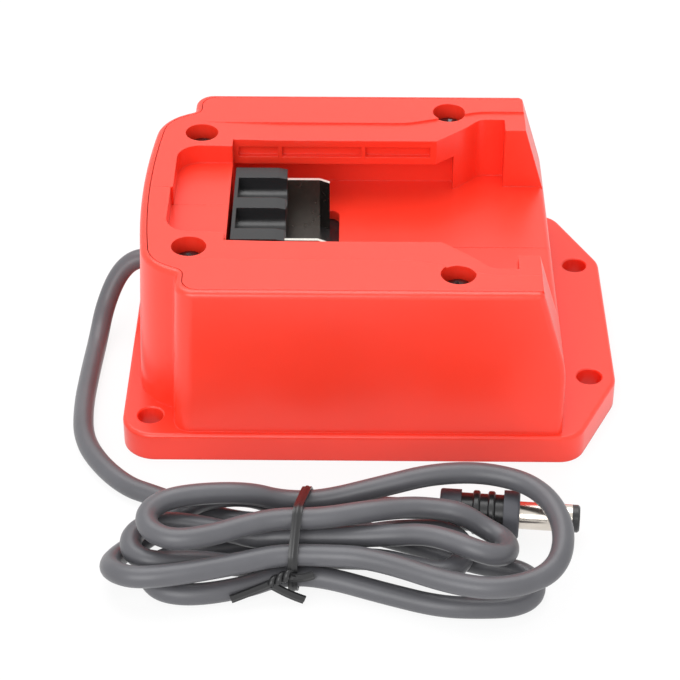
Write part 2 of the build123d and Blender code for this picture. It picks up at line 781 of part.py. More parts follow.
with BuildPart() as wire_negative:
    add(tube("wire_negative", wire_negative_points, [wire_bend_r] * 4, wire_d)[0])
wire_negative.part.label = "wire_negative"
export_step(wire_negative.part, "parts/wire_negative.step")

for name, side in (("sleeve_positive", 1), ("sleeve_negative", -1)):
    with BuildPart() as sleeve:
        with BuildSketch(Plane.XY.offset(sleeve_low_z)):
            with Locations((tab_x, side * blade_y)):
                Circle(sleeve_d / 2)
                Circle(sleeve_bore / 2, mode=Mode.SUBTRACT)
        extrude(amount=sleeve_high_z - sleeve_low_z)
    sleeve.part.label = name
    export_step(sleeve.part, f"parts/{name}.step")

# Lead from the wall to the hank
with BuildPart() as cable_lead:
    add(tube("cable_lead", lead_points, bend_radii(lead_points, far), cable_d)[0])
cable_lead.part.label = "cable_lead"
export_step(cable_lead.part, "parts/cable_lead.step")

# Hank: strands through the waist, joined in turn by the right and left end turns
hank_route = [(x, hank_y + y, cable_r) for x, y in hank_start]
is_end_turn = [False] * len(hank_start)
waist_places = []
for n, (across, up) in enumerate(strand_slots):
    way = 1 if n % 2 == 0 else -1
    y = hank_y + across * strand_pitch + strand_shift
    z = cable_r + waist_lift + up * strand_pitch
    waist_places.append((y, z))
    hank_route.append((tie_x - way * waist_length / 2, y, z))
    hank_route.append((tie_x + way * waist_length / 2, y, z))
    is_end_turn += [False, False]
    if n < len(strand_slots) - 1:
        reach, back, front, layer = (right_turns if way > 0 else left_turns)[n // 2]
        z = cable_r + layer * strand_pitch
        for edge in (back, front)[::way]:
            hank_route.append((reach, hank_y + edge, z))
            is_end_turn.append(True)
hank_route += [(x, hank_y + y, overmould_d / 2) for x, y in hank_end]
is_end_turn += [False] * len(hank_end)

hank_radii = bend_radii(hank_route, strand_bend_r)
for n in range(1, len(hank_route) - 1):
    if is_end_turn[n]:
        mate = n - 1 if is_end_turn[n - 1] else n + 1
        width = (Vector(*hank_route[n]) - Vector(*hank_route[mate])).length
        both_turns = tan(turn_at(hank_route, n) / 2) + tan(turn_at(hank_route, mate) / 2)
        hank_radii[n - 1] = turn_fill * width / both_turns

with BuildPart() as cable_hank:
    hank_solid, hank_path = tube("cable_hank", hank_route, hank_radii, cable_d)
    add(hank_solid)
cable_hank.part.label = "cable_hank"
export_step(cable_hank.part, "parts/cable_hank.step")

# Least gap of the hank to itself, between points at least three diameters apart along it
marks = int(hank_path.length)
spacing = hank_path.length / marks
samples = [tuple(hank_path @ (n / marks)) for n in range(marks + 1)]
apart = int(3 * cable_d / spacing)
hank_gap = min(
    hypot(a[0] - b[0], a[1] - b[1], a[2] - b[2])
    for n, a in enumerate(samples)
    for b in samples[n + apart:]
) - cable_d
print(f"cable_hank: least gap to itself {hank_gap:.2f}, wanted over {least_gap}")

# Tail from the hank to the plug
with BuildPart() as cable_tail:
    add(tube("cable_tail", tail_points, bend_radii(tail_points, far), cable_d)[0])
cable_tail.part.label = "cable_tail"
export_step(cable_tail.part, "parts/cable_tail.step")


def waist_hull(grow):
    """Band outline pulled round all strands at the waist, on the tie's own plane."""
    with BuildSketch() as rounds:
        with Locations(*waist_places):
            Circle(cable_r + grow)
    return make_hull(rounds.edges(), mode=Mode.PRIVATE)


def strip(start, end, width, thickness):
    """Flat strip standing on edge between two points."""
    way = Vector(*end) - Vector(*start)
    with BuildPart() as piece:
        with BuildSketch(Plane(origin=start, x_dir=way.cross(Vector(0, 0, 1)), z_dir=way)):
            Rectangle(thickness, width)
        extrude(amount=way.length)
    return piece.part


# Twist tie: a band round the waist, its twisted ends and the loose tails
twist_way = Vector(*twist_end) - Vector(*twist_start)
with BuildPart() as twist_tie:
    with BuildSketch(Plane.YZ.offset(tie_x)):
        add(waist_hull(tie_slack + tie_thickness))
        add(waist_hull(tie_slack), mode=Mode.SUBTRACT)
    extrude(amount=tie_width / 2, both=True)
    for step in range(twist_steps + 1):
        middle = Vector(*twist_start) + twist_way * (step / twist_steps)
        section = Plane(origin=middle, x_dir=(0, 1, 0), z_dir=twist_way)
        with BuildSketch(section):
            with Locations(Location((0, 0), step * twist_turn)):
                Rectangle(tie_width, twist_depth)
    loft(ruled=True)
    for start, end in tie_tails:
        add(strip(start, end, tie_width, tie_thickness))
twist_tie.part.label = "twist_tie"
export_step(twist_tie.part, "parts/twist_tie.step")

# Barrel plug, turned about its own axis: local X runs along the plug from the tail
plug_start = Vector(*tail_points[-1])
plug_way = plug_start - Vector(*tail_points[-2])
plug_side = Plane(origin=plug_start, x_dir=plug_way, z_dir=Vector(0, 0, 1))
plug_axis = Axis(plug_start, plug_way)
collar_end = grip_length + ring_length + collar_length
barrel_root_x = collar_end - barrel_root
barrel_end = collar_end + barrel_length
plug_end = barrel_end + tip_length
barrel_r = barrel_d / 2
contact_r = contact_bore / 2 + contact_wall
with BuildPart() as plug_overmould:
    with BuildSketch(plug_side):
        with BuildLine():
            FilletPolyline(
                (0, 0),
                (0, grip_d / 2),
                (grip_length, grip_d / 2),
                (grip_length, ring_seat_d / 2),
                (grip_length + ring_length, ring_seat_d / 2),
                (grip_length + ring_length, overmould_d / 2),
                (collar_end, overmould_d / 2),
                (collar_end, barrel_root_d / 2),
                (barrel_root_x, barrel_root_d / 2),
                (barrel_root_x, 0),
                radius=(0, overmould_edge_r, 0, 0, 0, 0, overmould_edge_r, 0, 0, 0),
                close=True,
            )
        make_face()
    revolve(axis=plug_axis)
plug_overmould.part.label = "plug_overmould"
export_step(plug_overmould.part, "parts/plug_overmould.step")

with BuildPart() as plug_grip_ring:
    with BuildSketch(plug_side):
        with Locations((grip_length, ring_seat_d / 2)):
            Rectangle(ring_length, (rib_root_d - ring_seat_d) / 2, align=(Align.MIN, Align.MIN))
        for place in rib_places:
            with Locations((grip_length + place, 0)):
                RectangleRounded(rib_width, grip_d, rib_width / 3)
        with Locations((grip_length, ring_seat_d / 2)):
            Rectangle(ring_length, far, align=(Align.MIN, Align.MAX), mode=Mode.SUBTRACT)
    revolve(axis=plug_axis)
plug_grip_ring.part.label = "plug_grip_ring"
export_step(plug_grip_ring.part, "parts/plug_grip_ring.step")

with BuildPart() as plug_barrel:
    with BuildSketch(plug_side):
        with Locations((barrel_root_x, barrel_r)):
            Rectangle(barrel_end - barrel_root_x, barrel_wall, align=(Align.MIN, Align.MAX))
            Rectangle(barrel_root, barrel_root_d / 2 - barrel_r, align=(Align.MIN, Align.MIN))
    revolve(axis=plug_axis)
plug_barrel.part.label = "plug_barrel"
export_step(plug_barrel.part, "parts/plug_barrel.step")

with BuildPart() as plug_insulator:
    with BuildSketch(plug_side):
        with BuildLine():
            Polyline(
                (barrel_root_x, contact_r),
                (barrel_root_x, barrel_r - barrel_wall),
                (barrel_end, barrel_r - barrel_wall),
                (barrel_end, barrel_r),
                (plug_end - barrel_wall, barrel_r),
                (plug_end, barrel_r - barrel_wall),
                (plug_end, contact_bore / 2),
                (plug_end - contact_recess, contact_bore / 2),
                (plug_end - contact_recess, contact_r),
                close=True,
            )
        make_face()
    revolve(axis=plug_axis)
plug_insulator.part.label = "plug_insulator"
export_step(plug_insulator.part, "parts/plug_insulator.step")

with BuildPart() as plug_centre_contact:
    with BuildSketch(plug_side):
        with BuildLine():
            Polyline(
                (barrel_root_x, 0),
                (barrel_root_x, contact_r),
                (plug_end - contact_recess, contact_r),
                (plug_end - contact_recess, contact_bore / 2),
                (collar_end, contact_bore / 2),
                (collar_end, 0),
                close=True,
            )
        make_face()
    revolve(axis=plug_axis)
plug_centre_contact.part.label = "plug_centre_contact"
export_step(plug_centre_contact.part, "parts/plug_centre_contact.step")
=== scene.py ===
"""Battery dock with a tied hank of cable: materials, cable, tie, screws, lights and camera.

Everything is in metres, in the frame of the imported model: the origin is the centre of the flange's
underside, +X leaves the open end of the channel, +Y goes to the back and +Z up.
"""

from math import cos, pi, radians, sin, tau

import bmesh
import bpy
from bpy.props import FloatProperty, FloatVectorProperty, IntProperty, PointerProperty
from bpy.types import Operator, Panel, PropertyGroup
from mathutils import Matrix, Vector


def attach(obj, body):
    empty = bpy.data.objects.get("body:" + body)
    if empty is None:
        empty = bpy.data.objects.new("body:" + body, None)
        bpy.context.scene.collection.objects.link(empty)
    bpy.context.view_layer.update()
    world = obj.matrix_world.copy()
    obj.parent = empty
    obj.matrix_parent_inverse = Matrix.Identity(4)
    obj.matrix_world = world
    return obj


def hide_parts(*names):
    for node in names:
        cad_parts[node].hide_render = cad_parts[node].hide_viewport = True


bl_info = {
    "name": "Battery dock with hank of cable",
    "version": (1, 0, 0),
    "blender": (4, 5, 0),
    "location": "View3D > Sidebar > Battery dock",
    "description": "Dresses the packed battery dock: finishes, cable, tie, screws and stage",
    "category": "Object",
}

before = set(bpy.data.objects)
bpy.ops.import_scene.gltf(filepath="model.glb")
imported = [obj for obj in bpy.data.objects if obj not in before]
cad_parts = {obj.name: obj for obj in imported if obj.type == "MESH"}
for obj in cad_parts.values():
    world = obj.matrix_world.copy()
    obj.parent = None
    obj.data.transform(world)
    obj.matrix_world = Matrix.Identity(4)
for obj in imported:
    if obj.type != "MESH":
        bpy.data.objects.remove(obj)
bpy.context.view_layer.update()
BODY = "root"

# The cable's way, control point by control point: from the wall down to the table and to the hank
LEAD_POINTS = [
    (-0.0498, 0.0085, 0.0162), (-0.0526, 0.0085, 0.0162), (-0.0566, 0.0074, 0.0126),
    (-0.0596, 0.0036, 0.0062), (-0.0606, -0.0034, 0.00215), (-0.0611, -0.0140, 0.00215),
    (-0.0614, -0.0275, 0.00215), (-0.0602, -0.0385, 0.00215), (-0.0556, -0.0472, 0.00215),
    (-0.0496, -0.0538, 0.00215),
]
TAIL_POINTS = [(0.0091, -0.0629, 0.00475), (0.0134, -0.063276, 0.00475)]

# The hank, strand by strand: where each passes the tied waist, and its height there
HANK_Y = -0.0725
TIE_X = -0.0140
WAIST_LENGTH = 0.0080
WAIST_PLACES = (
    (0.0068, 0.0031), (-0.0085, 0.0031), (0.0017, 0.0031), (-0.0034, 0.0031),
    (-0.0029, 0.0081), (-0.0030, 0.0128), (0.0077, 0.0081), (-0.0082, 0.0081), (0.0119, 0.0031),
)
# The loops at the right end, then those at the left, each from where it leaves the waist, with
# Y counted from the middle of the hank
RIGHT_TURNS = (
    ((-0.0030, 0.0060, 0.00215), (0.0085, 0.0018, 0.00215), (0.0175, -0.0026, 0.00215),
     (0.0238, -0.0046, 0.00215), (0.0286, -0.0056, 0.00215), (0.0314, -0.0088, 0.00215),
     (0.0308, -0.0130, 0.00215), (0.0272, -0.0156, 0.00215), (0.0216, -0.0162, 0.00215),
     (0.0130, -0.0160, 0.00215), (0.0030, -0.0126, 0.00215)),
    ((-0.0010, 0.0009, 0.0054), (0.0045, 0.0004, 0.0069), (0.0096, 0.0006, 0.0069),
     (0.0138, 0.0006, 0.0068), (0.0176, -0.0024, 0.0067), (0.0176, -0.0080, 0.0067),
     (0.0136, -0.0116, 0.0067), (0.0084, -0.0098, 0.0064), (0.0030, -0.0068, 0.0056),
     (-0.0020, -0.0047, 0.0041)),
    ((-0.0030, -0.0031, 0.0084), (0.0040, -0.0040, 0.0096), (0.0100, -0.0056, 0.0114),
     (0.0154, -0.0082, 0.0119), (0.0192, -0.0106, 0.0119), (0.0236, -0.0112, 0.0108),
     (0.0262, -0.0080, 0.0090), (0.0258, -0.0028, 0.0076), (0.0216, 0.0000, 0.0083),
     (0.0172, 0.0008, 0.0112), (0.0130, 0.0015, 0.0116), (0.0070, 0.0016, 0.0120),
     (-0.0010, -0.0008, 0.0129)),
    ((0.0020, 0.0092, 0.0108), (0.0120, 0.0108, 0.0128), (0.0230, 0.0118, 0.0124),
     (0.0328, 0.0076, 0.0122), (0.0372, -0.0028, 0.0114), (0.0352, -0.0136, 0.0098),
     (0.0270, -0.0182, 0.0092), (0.0170, -0.0182, 0.0092), (0.0000, -0.0096, 0.0088)),
)
LEFT_TURNS = (
    ((-0.0240, -0.0108, 0.00215), (-0.0330, -0.0132, 0.00215), (-0.0395, -0.0128, 0.00215),
     (-0.0430, -0.0096, 0.00215), (-0.0430, -0.0050, 0.00215), (-0.0390, -0.0018, 0.00215),
     (-0.0320, -0.0004, 0.00215), (-0.0240, 0.0014, 0.0023)),
    ((-0.0240, -0.0056, 0.0024), (-0.0340, -0.0074, 0.0058), (-0.0420, -0.0096, 0.0070),
     (-0.0464, -0.0069, 0.0070), (-0.0471, -0.0018, 0.0070), (-0.0437, 0.0021, 0.0070),
     (-0.0370, 0.0022, 0.0070), (-0.0280, -0.0003, 0.0070), (-0.0225, -0.0022, 0.0070)),
    ((-0.0240, -0.0046, 0.0126), (-0.0310, -0.0078, 0.0125), (-0.0380, -0.0092, 0.0124),
     (-0.0428, -0.0064, 0.0124), (-0.0440, -0.0014, 0.0124), (-0.0404, 0.0030, 0.0124),
     (-0.0330, 0.0048, 0.0124), (-0.0240, 0.0062, 0.0114)),
    ((-0.0260, -0.0108, 0.0080), (-0.0380, -0.0140, 0.0079), (-0.0454, -0.0144, 0.0075),
     (-0.0496, -0.0116, 0.0066), (-0.0508, -0.0070, 0.0044), (-0.0488, -0.0010, 0.0022),
     (-0.0430, 0.0044, 0.0022), (-0.0360, 0.0086, 0.0069), (-0.0260, 0.0114, 0.0068)),
)
HANK_START = ((-0.0445, 0.0163, 0.00215), (-0.0375, 0.0126, 0.00215), (-0.0270, 0.0080, 0.00215))
HANK_END = ((-0.0030, 0.0110, 0.0042), (0.0040, 0.0098, 0.00475))

# Twist tie: how far its band leans along X from front to back, where its twist starts and ends,
# and its loose tails
TIE_LEAN = 0.0030
TWIST_START = (-0.0152, -0.0839, 0.0064)
TWIST_END = (-0.0195, -0.0846, 0.0044)
TIE_TAILS = (
    ((-0.0191, -0.0846, 0.0044), (-0.0231, -0.0860, 0.0034), (-0.0270, -0.0871, 0.0024)),
    ((-0.0190, -0.0849, 0.0039), (-0.0160, -0.0857, 0.0024), (-0.0130, -0.0858, 0.0012)),
    ((-0.0158, -0.0843, 0.0058), (-0.0137, -0.0846, 0.0052), (-0.0112, -0.0840, 0.0060)),
)

# Deck screws: their places on the deck, the seat of their heads, and one screw's sizes
SCREW_PLACES = ((-0.0378, 0.0226), (-0.0378, -0.0226), (0.01705, 0.0321), (0.01705, -0.0321))
SCREW_SEAT_Z = 0.0348
SCREW_LENGTH = 0.0190
SCREW_SIDES = 32
HEAD_RADIUS = 0.0030
HEAD_HEIGHT = 0.0026
HEAD_CROWN = ((0.0013, 0.995), (0.0023, 0.97), (0.0027, 0.91), (HEAD_RADIUS, 0.72))
SHANK_RADIUS = 0.00145
TIP_RADIUS = 0.0004
TIP_LENGTH = 0.0015
RECESS_DEPTH = 0.0013
RECESS_ARM = 0.0020
RECESS_TOP_HALF = 0.00050
RECESS_FOOT_HALF = 0.00030
RECESS_FOOT_SHARE = 0.45
CUT_SPARE = 0.0004

# Camera of the photograph, as fitted to the flange, the deck and the channel
CAMERA_PLACE = (-0.00355, -0.39476, 0.28901)
CAMERA_PITCH = radians(36.196)
CAMERA_YAW = radians(-0.504)
CAMERA_ROLL = radians(0.091)
CAMERA_FIELD = radians(17.65)

# Stage: the lamps, what they aim at, and the floor
STAGE_TARGET = (0.0, -0.02, 0.02)
KEY_PLACE = (-0.10, 0.25, 0.80)
FILL_PLACE = (-0.35, -0.95, 0.60)
SOFTBOX_SIZE = 0.70
FLOOR_REACH = 3.0
FLOOR_COLOUR = (0.92, 0.92, 0.92, 1.0)
WHITE = (1.0, 1.0, 1.0, 1.0)

# Colours of what is inside the tub
CLAMP_COLOUR = (0.35, 0.35, 0.36)
CLAMP_SCREW_COLOUR = (0.55, 0.55, 0.57)
WIRE_RED = (0.55, 0.02, 0.02)
WIRE_BLACK = (0.015, 0.015, 0.015)
SLEEVE_COLOUR = (0.014, 0.014, 0.014)

# What the steps make and hand on: the materials by name, and the tie, which the cable step picks up
FINISHES = {}
MADE = {}

# Material of each CAD node that keeps its own mesh
NODE_FINISHES = {
    "base_housing": "housing",
    "rail_half_front": "rails",
    "rail_half_back": "rails",
    "terminal_block": "block",
    "blade_positive": "blades",
    "blade_negative": "blades",
    "cord_clamp": "clamp",
    "clamp_screw_1": "clamp_screws",
    "clamp_screw_2": "clamp_screws",
    "cable_inner": "cable",
    "wire_positive": "wire_positive",
    "wire_negative": "wire_negative",
    "sleeve_positive": "sleeves",
    "sleeve_negative": "sleeves",
    "plug_overmould": "overmould",
    "plug_grip_ring": "grip_ring",
    "plug_barrel": "barrel",
    "plug_insulator": "insulator",
    "plug_centre_contact": "plug_contact",
}


def colour_property(name, description, default):
    """A linear colour that the panel shows."""
    return FloatVectorProperty(
        name=name, description=description, default=default, size=3, min=0.0, max=1.0,
        subtype="COLOR",
    )


def share_property(name, description, default):
    """A plain share from 0 to 1, such as a roughness."""
    return FloatProperty(name=name, description=description, default=default, min=0.0, max=1.0)


def length_property(name, description, default):
    """A length in metres."""
    return FloatProperty(
        name=name, description=description, default=default, min=0.0, precision=5,
        unit="LENGTH", subtype="DISTANCE",
    )


class DockFinishes(PropertyGroup):
    """Colours and roughness of the dock's plastics and metals."""

    housing_colour: colour_property("Housing", "Orange-red moulded plastic", (0.86, 0.040, 0.018))
    housing_roughness: share_property("Housing roughness", "Gloss of the moulding", 0.30)
    block_colour: colour_property("Terminal block", "Black glossy moulding", (0.012, 0.012, 0.013))
    # Plating colour of the blades and the plug's contact; on the blades it shows only on faces that
    # turn upwards
    blade_colour: colour_property("Blade edges", "Nickel-plated contacts", (0.80, 0.76, 0.70))
    # Painted shade: the darker colour given to the blades' sides and undersides, which face away
    # from the overhead light
    blade_side_shade_colour: colour_property("Blade faces", "Rolled faces, darker", (0.40, 0.35, 0.31))
    screw_colour: colour_property("Screws", "Dark zinc", (0.075, 0.075, 0.08))
    barrel_colour: colour_property("Barrel", "Nickel-plated sleeve", (0.72, 0.66, 0.59))
    overmould_colour: colour_property("Plug moulding", "Matt grey", (0.060, 0.061, 0.072))
    ring_colour: colour_property("Plug ring", "Glossy black", (0.014, 0.014, 0.015))
    grain_size: length_property("Grain", "Size of the moulding grain", 0.0006)
    edge_radius: length_property("Edge radius", "Softening of the moulded edges", 0.00025)


class CableSettings(PropertyGroup):
    """Sizes and colours of the cable and its tie."""

    diameter: length_property("Cable diameter", "Outside of the jacket", 0.0043)
    smoothness: IntProperty(name="Smoothness", description="Sides of a quarter jacket",
                            default=8, min=2, max=16)
    jacket_colour: colour_property("Jacket", "Grey satin jacket", (0.092, 0.092, 0.101))
    tie_width: length_property("Tie width", "Width of the flat tie", 0.0018)
    tie_thickness: length_property("Tie thickness", "Thickness at the core", 0.0008)
    tie_slack: length_property("Tie slack", "Room between tie and cable", 0.00015)
    tie_colour: colour_property("Tie", "Black coating", (0.014, 0.014, 0.015))
    twist_turns: FloatProperty(name="Twist turns", description="Turns of the twisted ends",
                               default=1.5, min=0.5, max=6.0)
    twist_pitch: share_property("Twist pitch", "Strand's distance from the axis, by width", 0.30)
    twist_strand: share_property("Twist strand", "Radius of a twisted strand, by width", 0.34)


class StageSettings(PropertyGroup):
    """Power of the lamps, room light and white of the floor."""

    key_power: FloatProperty(name="Key light", description="Softbox overhead", default=4.4,
                             min=0.0, unit="POWER")
    fill_power: FloatProperty(name="Fill light", description="Softbox at the front left",
                              default=6.3, min=0.0, unit="POWER")
    world_level: FloatProperty(name="Room light", description="Even light from all round",
                               default=0.85, min=0.0, max=2.0)
    floor_white: share_property("Floor white", "Share of plain white that the camera sees", 0.88)


# Node helpers

def new_material(name):
    """Empty node material with a Principled surface."""
    material = bpy.data.materials.new(name)
    material.use_nodes = True
    nodes = material.node_tree.nodes
    nodes.clear()
    surface = nodes.new("ShaderNodeBsdfPrincipled")
    output = nodes.new("ShaderNodeOutputMaterial")
    material.node_tree.links.new(surface.outputs["BSDF"], output.inputs["Surface"])
    return material, surface


def object_noise(material, size, detail=2.0, stretch=(1.0, 1.0, 1.0)):
    """Noise on object coordinates whose grain is about the given size in metres."""
    nodes, links = material.node_tree.nodes, material.node_tree.links
    place = nodes.new("ShaderNodeTexCoord")
    mapping = nodes.new("ShaderNodeMapping")
    mapping.inputs["Scale"].default_value = [part / size for part in stretch]
    noise = nodes.new("ShaderNodeTexNoise")
    noise.inputs["Scale"].default_value = 1.0
    noise.inputs["Detail"].default_value = detail
    links.new(place.outputs["Object"], mapping.inputs["Vector"])
    links.new(mapping.outputs["Vector"], noise.inputs["Vector"])
    return noise


def tinted(material, surface, colour, spread, size):
    """Base colour that drifts a little darker and lighter over the piece."""
    nodes, links = material.node_tree.nodes, material.node_tree.links
    noise = object_noise(material, size, detail=3.0)
    ramp = nodes.new("ShaderNodeValToRGB")
    ramp.color_ramp.elements[0].position = 0.35
    ramp.color_ramp.elements[1].position = 0.65
    ramp.color_ramp.elements[0].color = [part * (1 - spread) for part in colour] + [1.0]
    ramp.color_ramp.elements[1].color = [min(1.0, part * (1 + spread)) for part in colour] + [1.0]
    links.new(noise.outputs["Fac"], ramp.inputs["Fac"])
    links.new(ramp.outputs["Color"], surface.inputs["Base Color"])


def rough_between(material, surface, low, high, size, stretch=(1.0, 1.0, 1.0)):
    """Roughness that varies between two values, as handled or drawn surfaces do."""
    nodes, links = material.node_tree.nodes, material.node_tree.links
    noise = object_noise(material, size, stretch=stretch)
    span = nodes.new("ShaderNodeMapRange")
    span.inputs["To Min"].default_value = low
    span.inputs["To Max"].default_value = high
    links.new(noise.outputs["Fac"], span.inputs["Value"])
    links.new(span.outputs["Result"], surface.inputs["Roughness"])


def grained(material, surface, size, depth, edge_radius=0.0, stretch=(1.0, 1.0, 1.0)):
    """Fine surface grain, with moulded edges softened where a radius is given."""
    nodes, links = material.node_tree.nodes, material.node_tree.links
    noise = object_noise(material, size, stretch=stretch)
    bump = nodes.new("ShaderNodeBump")
    bump.inputs["Strength"].default_value = 1.0
    bump.inputs["Distance"].default_value = depth
    links.new(noise.outputs["Fac"], bump.inputs["Height"])
    if edge_radius > 0.0:
        edge = nodes.new("ShaderNodeBevel")
        edge.samples = 4
        edge.inputs["Radius"].default_value = edge_radius
        links.new(edge.outputs["Normal"], bump.inputs["Normal"])
    links.new(bump.outputs["Normal"], surface.inputs["Normal"])


def moulded_plastic(name, colour, roughness, grain, depth, edge_radius, spread=0.03, glow=0.0):
    """Injection-moulded plastic: a clear sheen over one colour, with fine grain.

    The glow is the share of light that passes under the surface, as in bright colours.
    """
    material, surface = new_material(name)
    tinted(material, surface, colour, spread, size=0.030)
    rough_between(material, surface, roughness - 0.04, roughness + 0.04, size=0.012)
    grained(material, surface, grain, depth, edge_radius)
    surface.inputs["IOR"].default_value = 1.53
    surface.inputs["Subsurface Weight"].default_value = glow
    surface.inputs["Subsurface Radius"].default_value = (1.0, 0.25, 0.12)
    surface.inputs["Subsurface Scale"].default_value = 0.003
    return material


def plated_metal(name, colour, roughness, stretch=(1.0, 1.0, 1.0)):
    """Plated or drawn metal; a low stretch along one axis draws faint lines along it."""
    material, surface = new_material(name)
    tinted(material, surface, colour, spread=0.06, size=0.004)
    rough_between(material, surface, roughness - 0.06, roughness + 0.08, size=0.0008,
                  stretch=stretch)
    grained(material, surface, size=0.0005, depth=0.000004, stretch=stretch)
    surface.inputs["Metallic"].default_value = 1.0
    return material


def blade_shaded_by_facing(name, side_shade_colour, plating_colour, roughness):
    """Contact blade: plating colour on upward faces, with painted shade that darkens its sides and
    undersides.
    """
    material, surface = new_material(name)
    nodes, links = material.node_tree.nodes, material.node_tree.links
    place = nodes.new("ShaderNodeTexCoord")
    parts = nodes.new("ShaderNodeSeparateXYZ")
    ramp = nodes.new("ShaderNodeValToRGB")
    ramp.color_ramp.elements[0].position = 0.35
    ramp.color_ramp.elements[1].position = 0.75
    ramp.color_ramp.elements[0].color = [*side_shade_colour, 1.0]
    ramp.color_ramp.elements[1].color = [*plating_colour, 1.0]
    # Painted shade: the colour follows how far each face turns upwards, so sides and undersides take
    # the darker shade colour and only upward faces show the plating colour
    links.new(place.outputs["Normal"], parts.inputs["Vector"])
    links.new(parts.outputs["Z"], ramp.inputs["Fac"])
    links.new(ramp.outputs["Color"], surface.inputs["Base Color"])
    rough_between(material, surface, roughness - 0.05, roughness + 0.07, size=0.0008)
    surface.inputs["Metallic"].default_value = 1.0
    return material


def soft_jacket(name, colour, roughness):
    """Extruded soft jacket: satin, with a faint waviness."""
    material, surface = new_material(name)
    tinted(material, surface, colour, spread=0.07, size=0.010)
    rough_between(material, surface, roughness - 0.05, roughness + 0.05, size=0.004)
    grained(material, surface, size=0.0009, depth=0.00002)
    surface.inputs["IOR"].default_value = 1.48
    surface.inputs["Sheen Weight"].default_value = 0.06
    surface.inputs["Sheen Roughness"].default_value = 0.4
    return material


def make_finishes(settings, cable):
    """All materials by name."""
    edge, grain = settings.edge_radius, settings.grain_size
    housing, gloss = settings.housing_colour, settings.housing_roughness
    ring = settings.ring_colour
    return {
        "housing": moulded_plastic("housing", housing, gloss, grain, depth=0.000012,
                                   edge_radius=edge, glow=0.2),
        "rails": moulded_plastic("rails", housing, gloss + 0.03, grain, depth=0.000014,
                                 edge_radius=edge, glow=0.2),
        "block": moulded_plastic("block", settings.block_colour, 0.24, grain, depth=0.000008,
                                 edge_radius=edge),
        # Blades: plating colour, with painted shade on their sides and undersides
        "blades": blade_shaded_by_facing("blades", settings.blade_side_shade_colour, settings.blade_colour,
                                roughness=0.24),
        "plug_contact": plated_metal("plug_contact", settings.blade_colour, roughness=0.24),
        "deck_screws": plated_metal("deck_screws", settings.screw_colour, roughness=0.28),
        "clamp": moulded_plastic("clamp", CLAMP_COLOUR, 0.45, grain, depth=0.00002,
                                 edge_radius=edge),
        "clamp_screws": plated_metal("clamp_screws", CLAMP_SCREW_COLOUR, roughness=0.30),
        "cable": soft_jacket("cable", cable.jacket_colour, roughness=0.38),
        "wire_positive": soft_jacket("wire_positive", WIRE_RED, roughness=0.40),
        "wire_negative": soft_jacket("wire_negative", WIRE_BLACK, roughness=0.40),
        "sleeves": soft_jacket("sleeves", SLEEVE_COLOUR, roughness=0.38),
        "tie": moulded_plastic("tie", cable.tie_colour, 0.36, grain=0.0004, depth=0.00001,
                               edge_radius=0.0, spread=0.10),
        "overmould": moulded_plastic("overmould", settings.overmould_colour, 0.58, grain=0.0003,
                                     depth=0.00002, edge_radius=0.0002, spread=0.06),
        "grip_ring": moulded_plastic("grip_ring", ring, 0.30, grain=0.0004, depth=0.00001,
                                     edge_radius=0.0001, spread=0.10),
        "barrel": plated_metal("barrel", settings.barrel_colour, roughness=0.20,
                               stretch=(0.1, 1.0, 1.0)),
        "insulator": moulded_plastic("insulator", ring, 0.34, grain=0.0004, depth=0.00001,
                                     edge_radius=0.0001, spread=0.10),
    }


def give(piece, material):
    """The piece shows one material in all its slots."""
    slots = piece.data.materials
    if not slots:
        slots.append(material)
    for index in range(len(slots)):
        slots[index] = material


def plain_object(name, shape):
    """Object at the origin from a bmesh, with its faces turned outwards."""
    bmesh.ops.recalc_face_normals(shape, faces=shape.faces)
    mesh = bpy.data.meshes.new(name)
    shape.to_mesh(mesh)
    shape.free()
    piece = bpy.data.objects.new(name, mesh)
    bpy.context.scene.collection.objects.link(piece)
    return piece


def smooth_object(name, shape):
    """Object at the origin from a bmesh, smooth where its edges are shallow."""
    bmesh.ops.remove_doubles(shape, verts=shape.verts, dist=1e-6)
    piece = plain_object(name, shape)
    piece.data.shade_smooth()
    piece.data.set_sharp_from_angle(angle=radians(40))
    return piece


# Cable

def hank_route():
    """Control points of the hank: each strand through the waist, then the loop that ends it."""
    points = [(x, HANK_Y + y, z) for x, y, z in HANK_START]
    for strand, (y, z) in enumerate(WAIST_PLACES):
        way = 1 if strand % 2 == 0 else -1
        points.append((TIE_X - way * WAIST_LENGTH / 2, HANK_Y + y, z))
        points.append((TIE_X + way * WAIST_LENGTH / 2, HANK_Y + y, z))
        if strand < len(WAIST_PLACES) - 1:
            turn = (RIGHT_TURNS if way > 0 else LEFT_TURNS)[strand // 2]
            points += [(x, HANK_Y + side, height) for x, side, height in turn]
    return points + [(x, HANK_Y + y, z) for x, y, z in HANK_END]


def nurbs_route(name, points):
    """Open smooth spline through the neighbourhood of its control points."""
    curve = bpy.data.curves.new(name, "CURVE")
    curve.dimensions = "3D"
    spline = curve.splines.new("NURBS")
    spline.points.add(len(points) - 1)
    for point, place in zip(spline.points, points):
        point.co = (*place, 1.0)
    spline.order_u = 3
    spline.use_endpoint_u = True
    spline.resolution_u = 12
    return curve


def spline_length(curve):
    """Length of the curve's own line, with no bevel."""
    probe = bpy.data.objects.new("length_probe", curve)
    mesh = bpy.data.meshes.new_from_object(probe)
    places = [vertex.co for vertex in mesh.vertices]
    length = sum((b - a).length for a, b in zip(places, places[1:]))
    bpy.data.meshes.remove(mesh)
    bpy.data.objects.remove(probe)
    return length


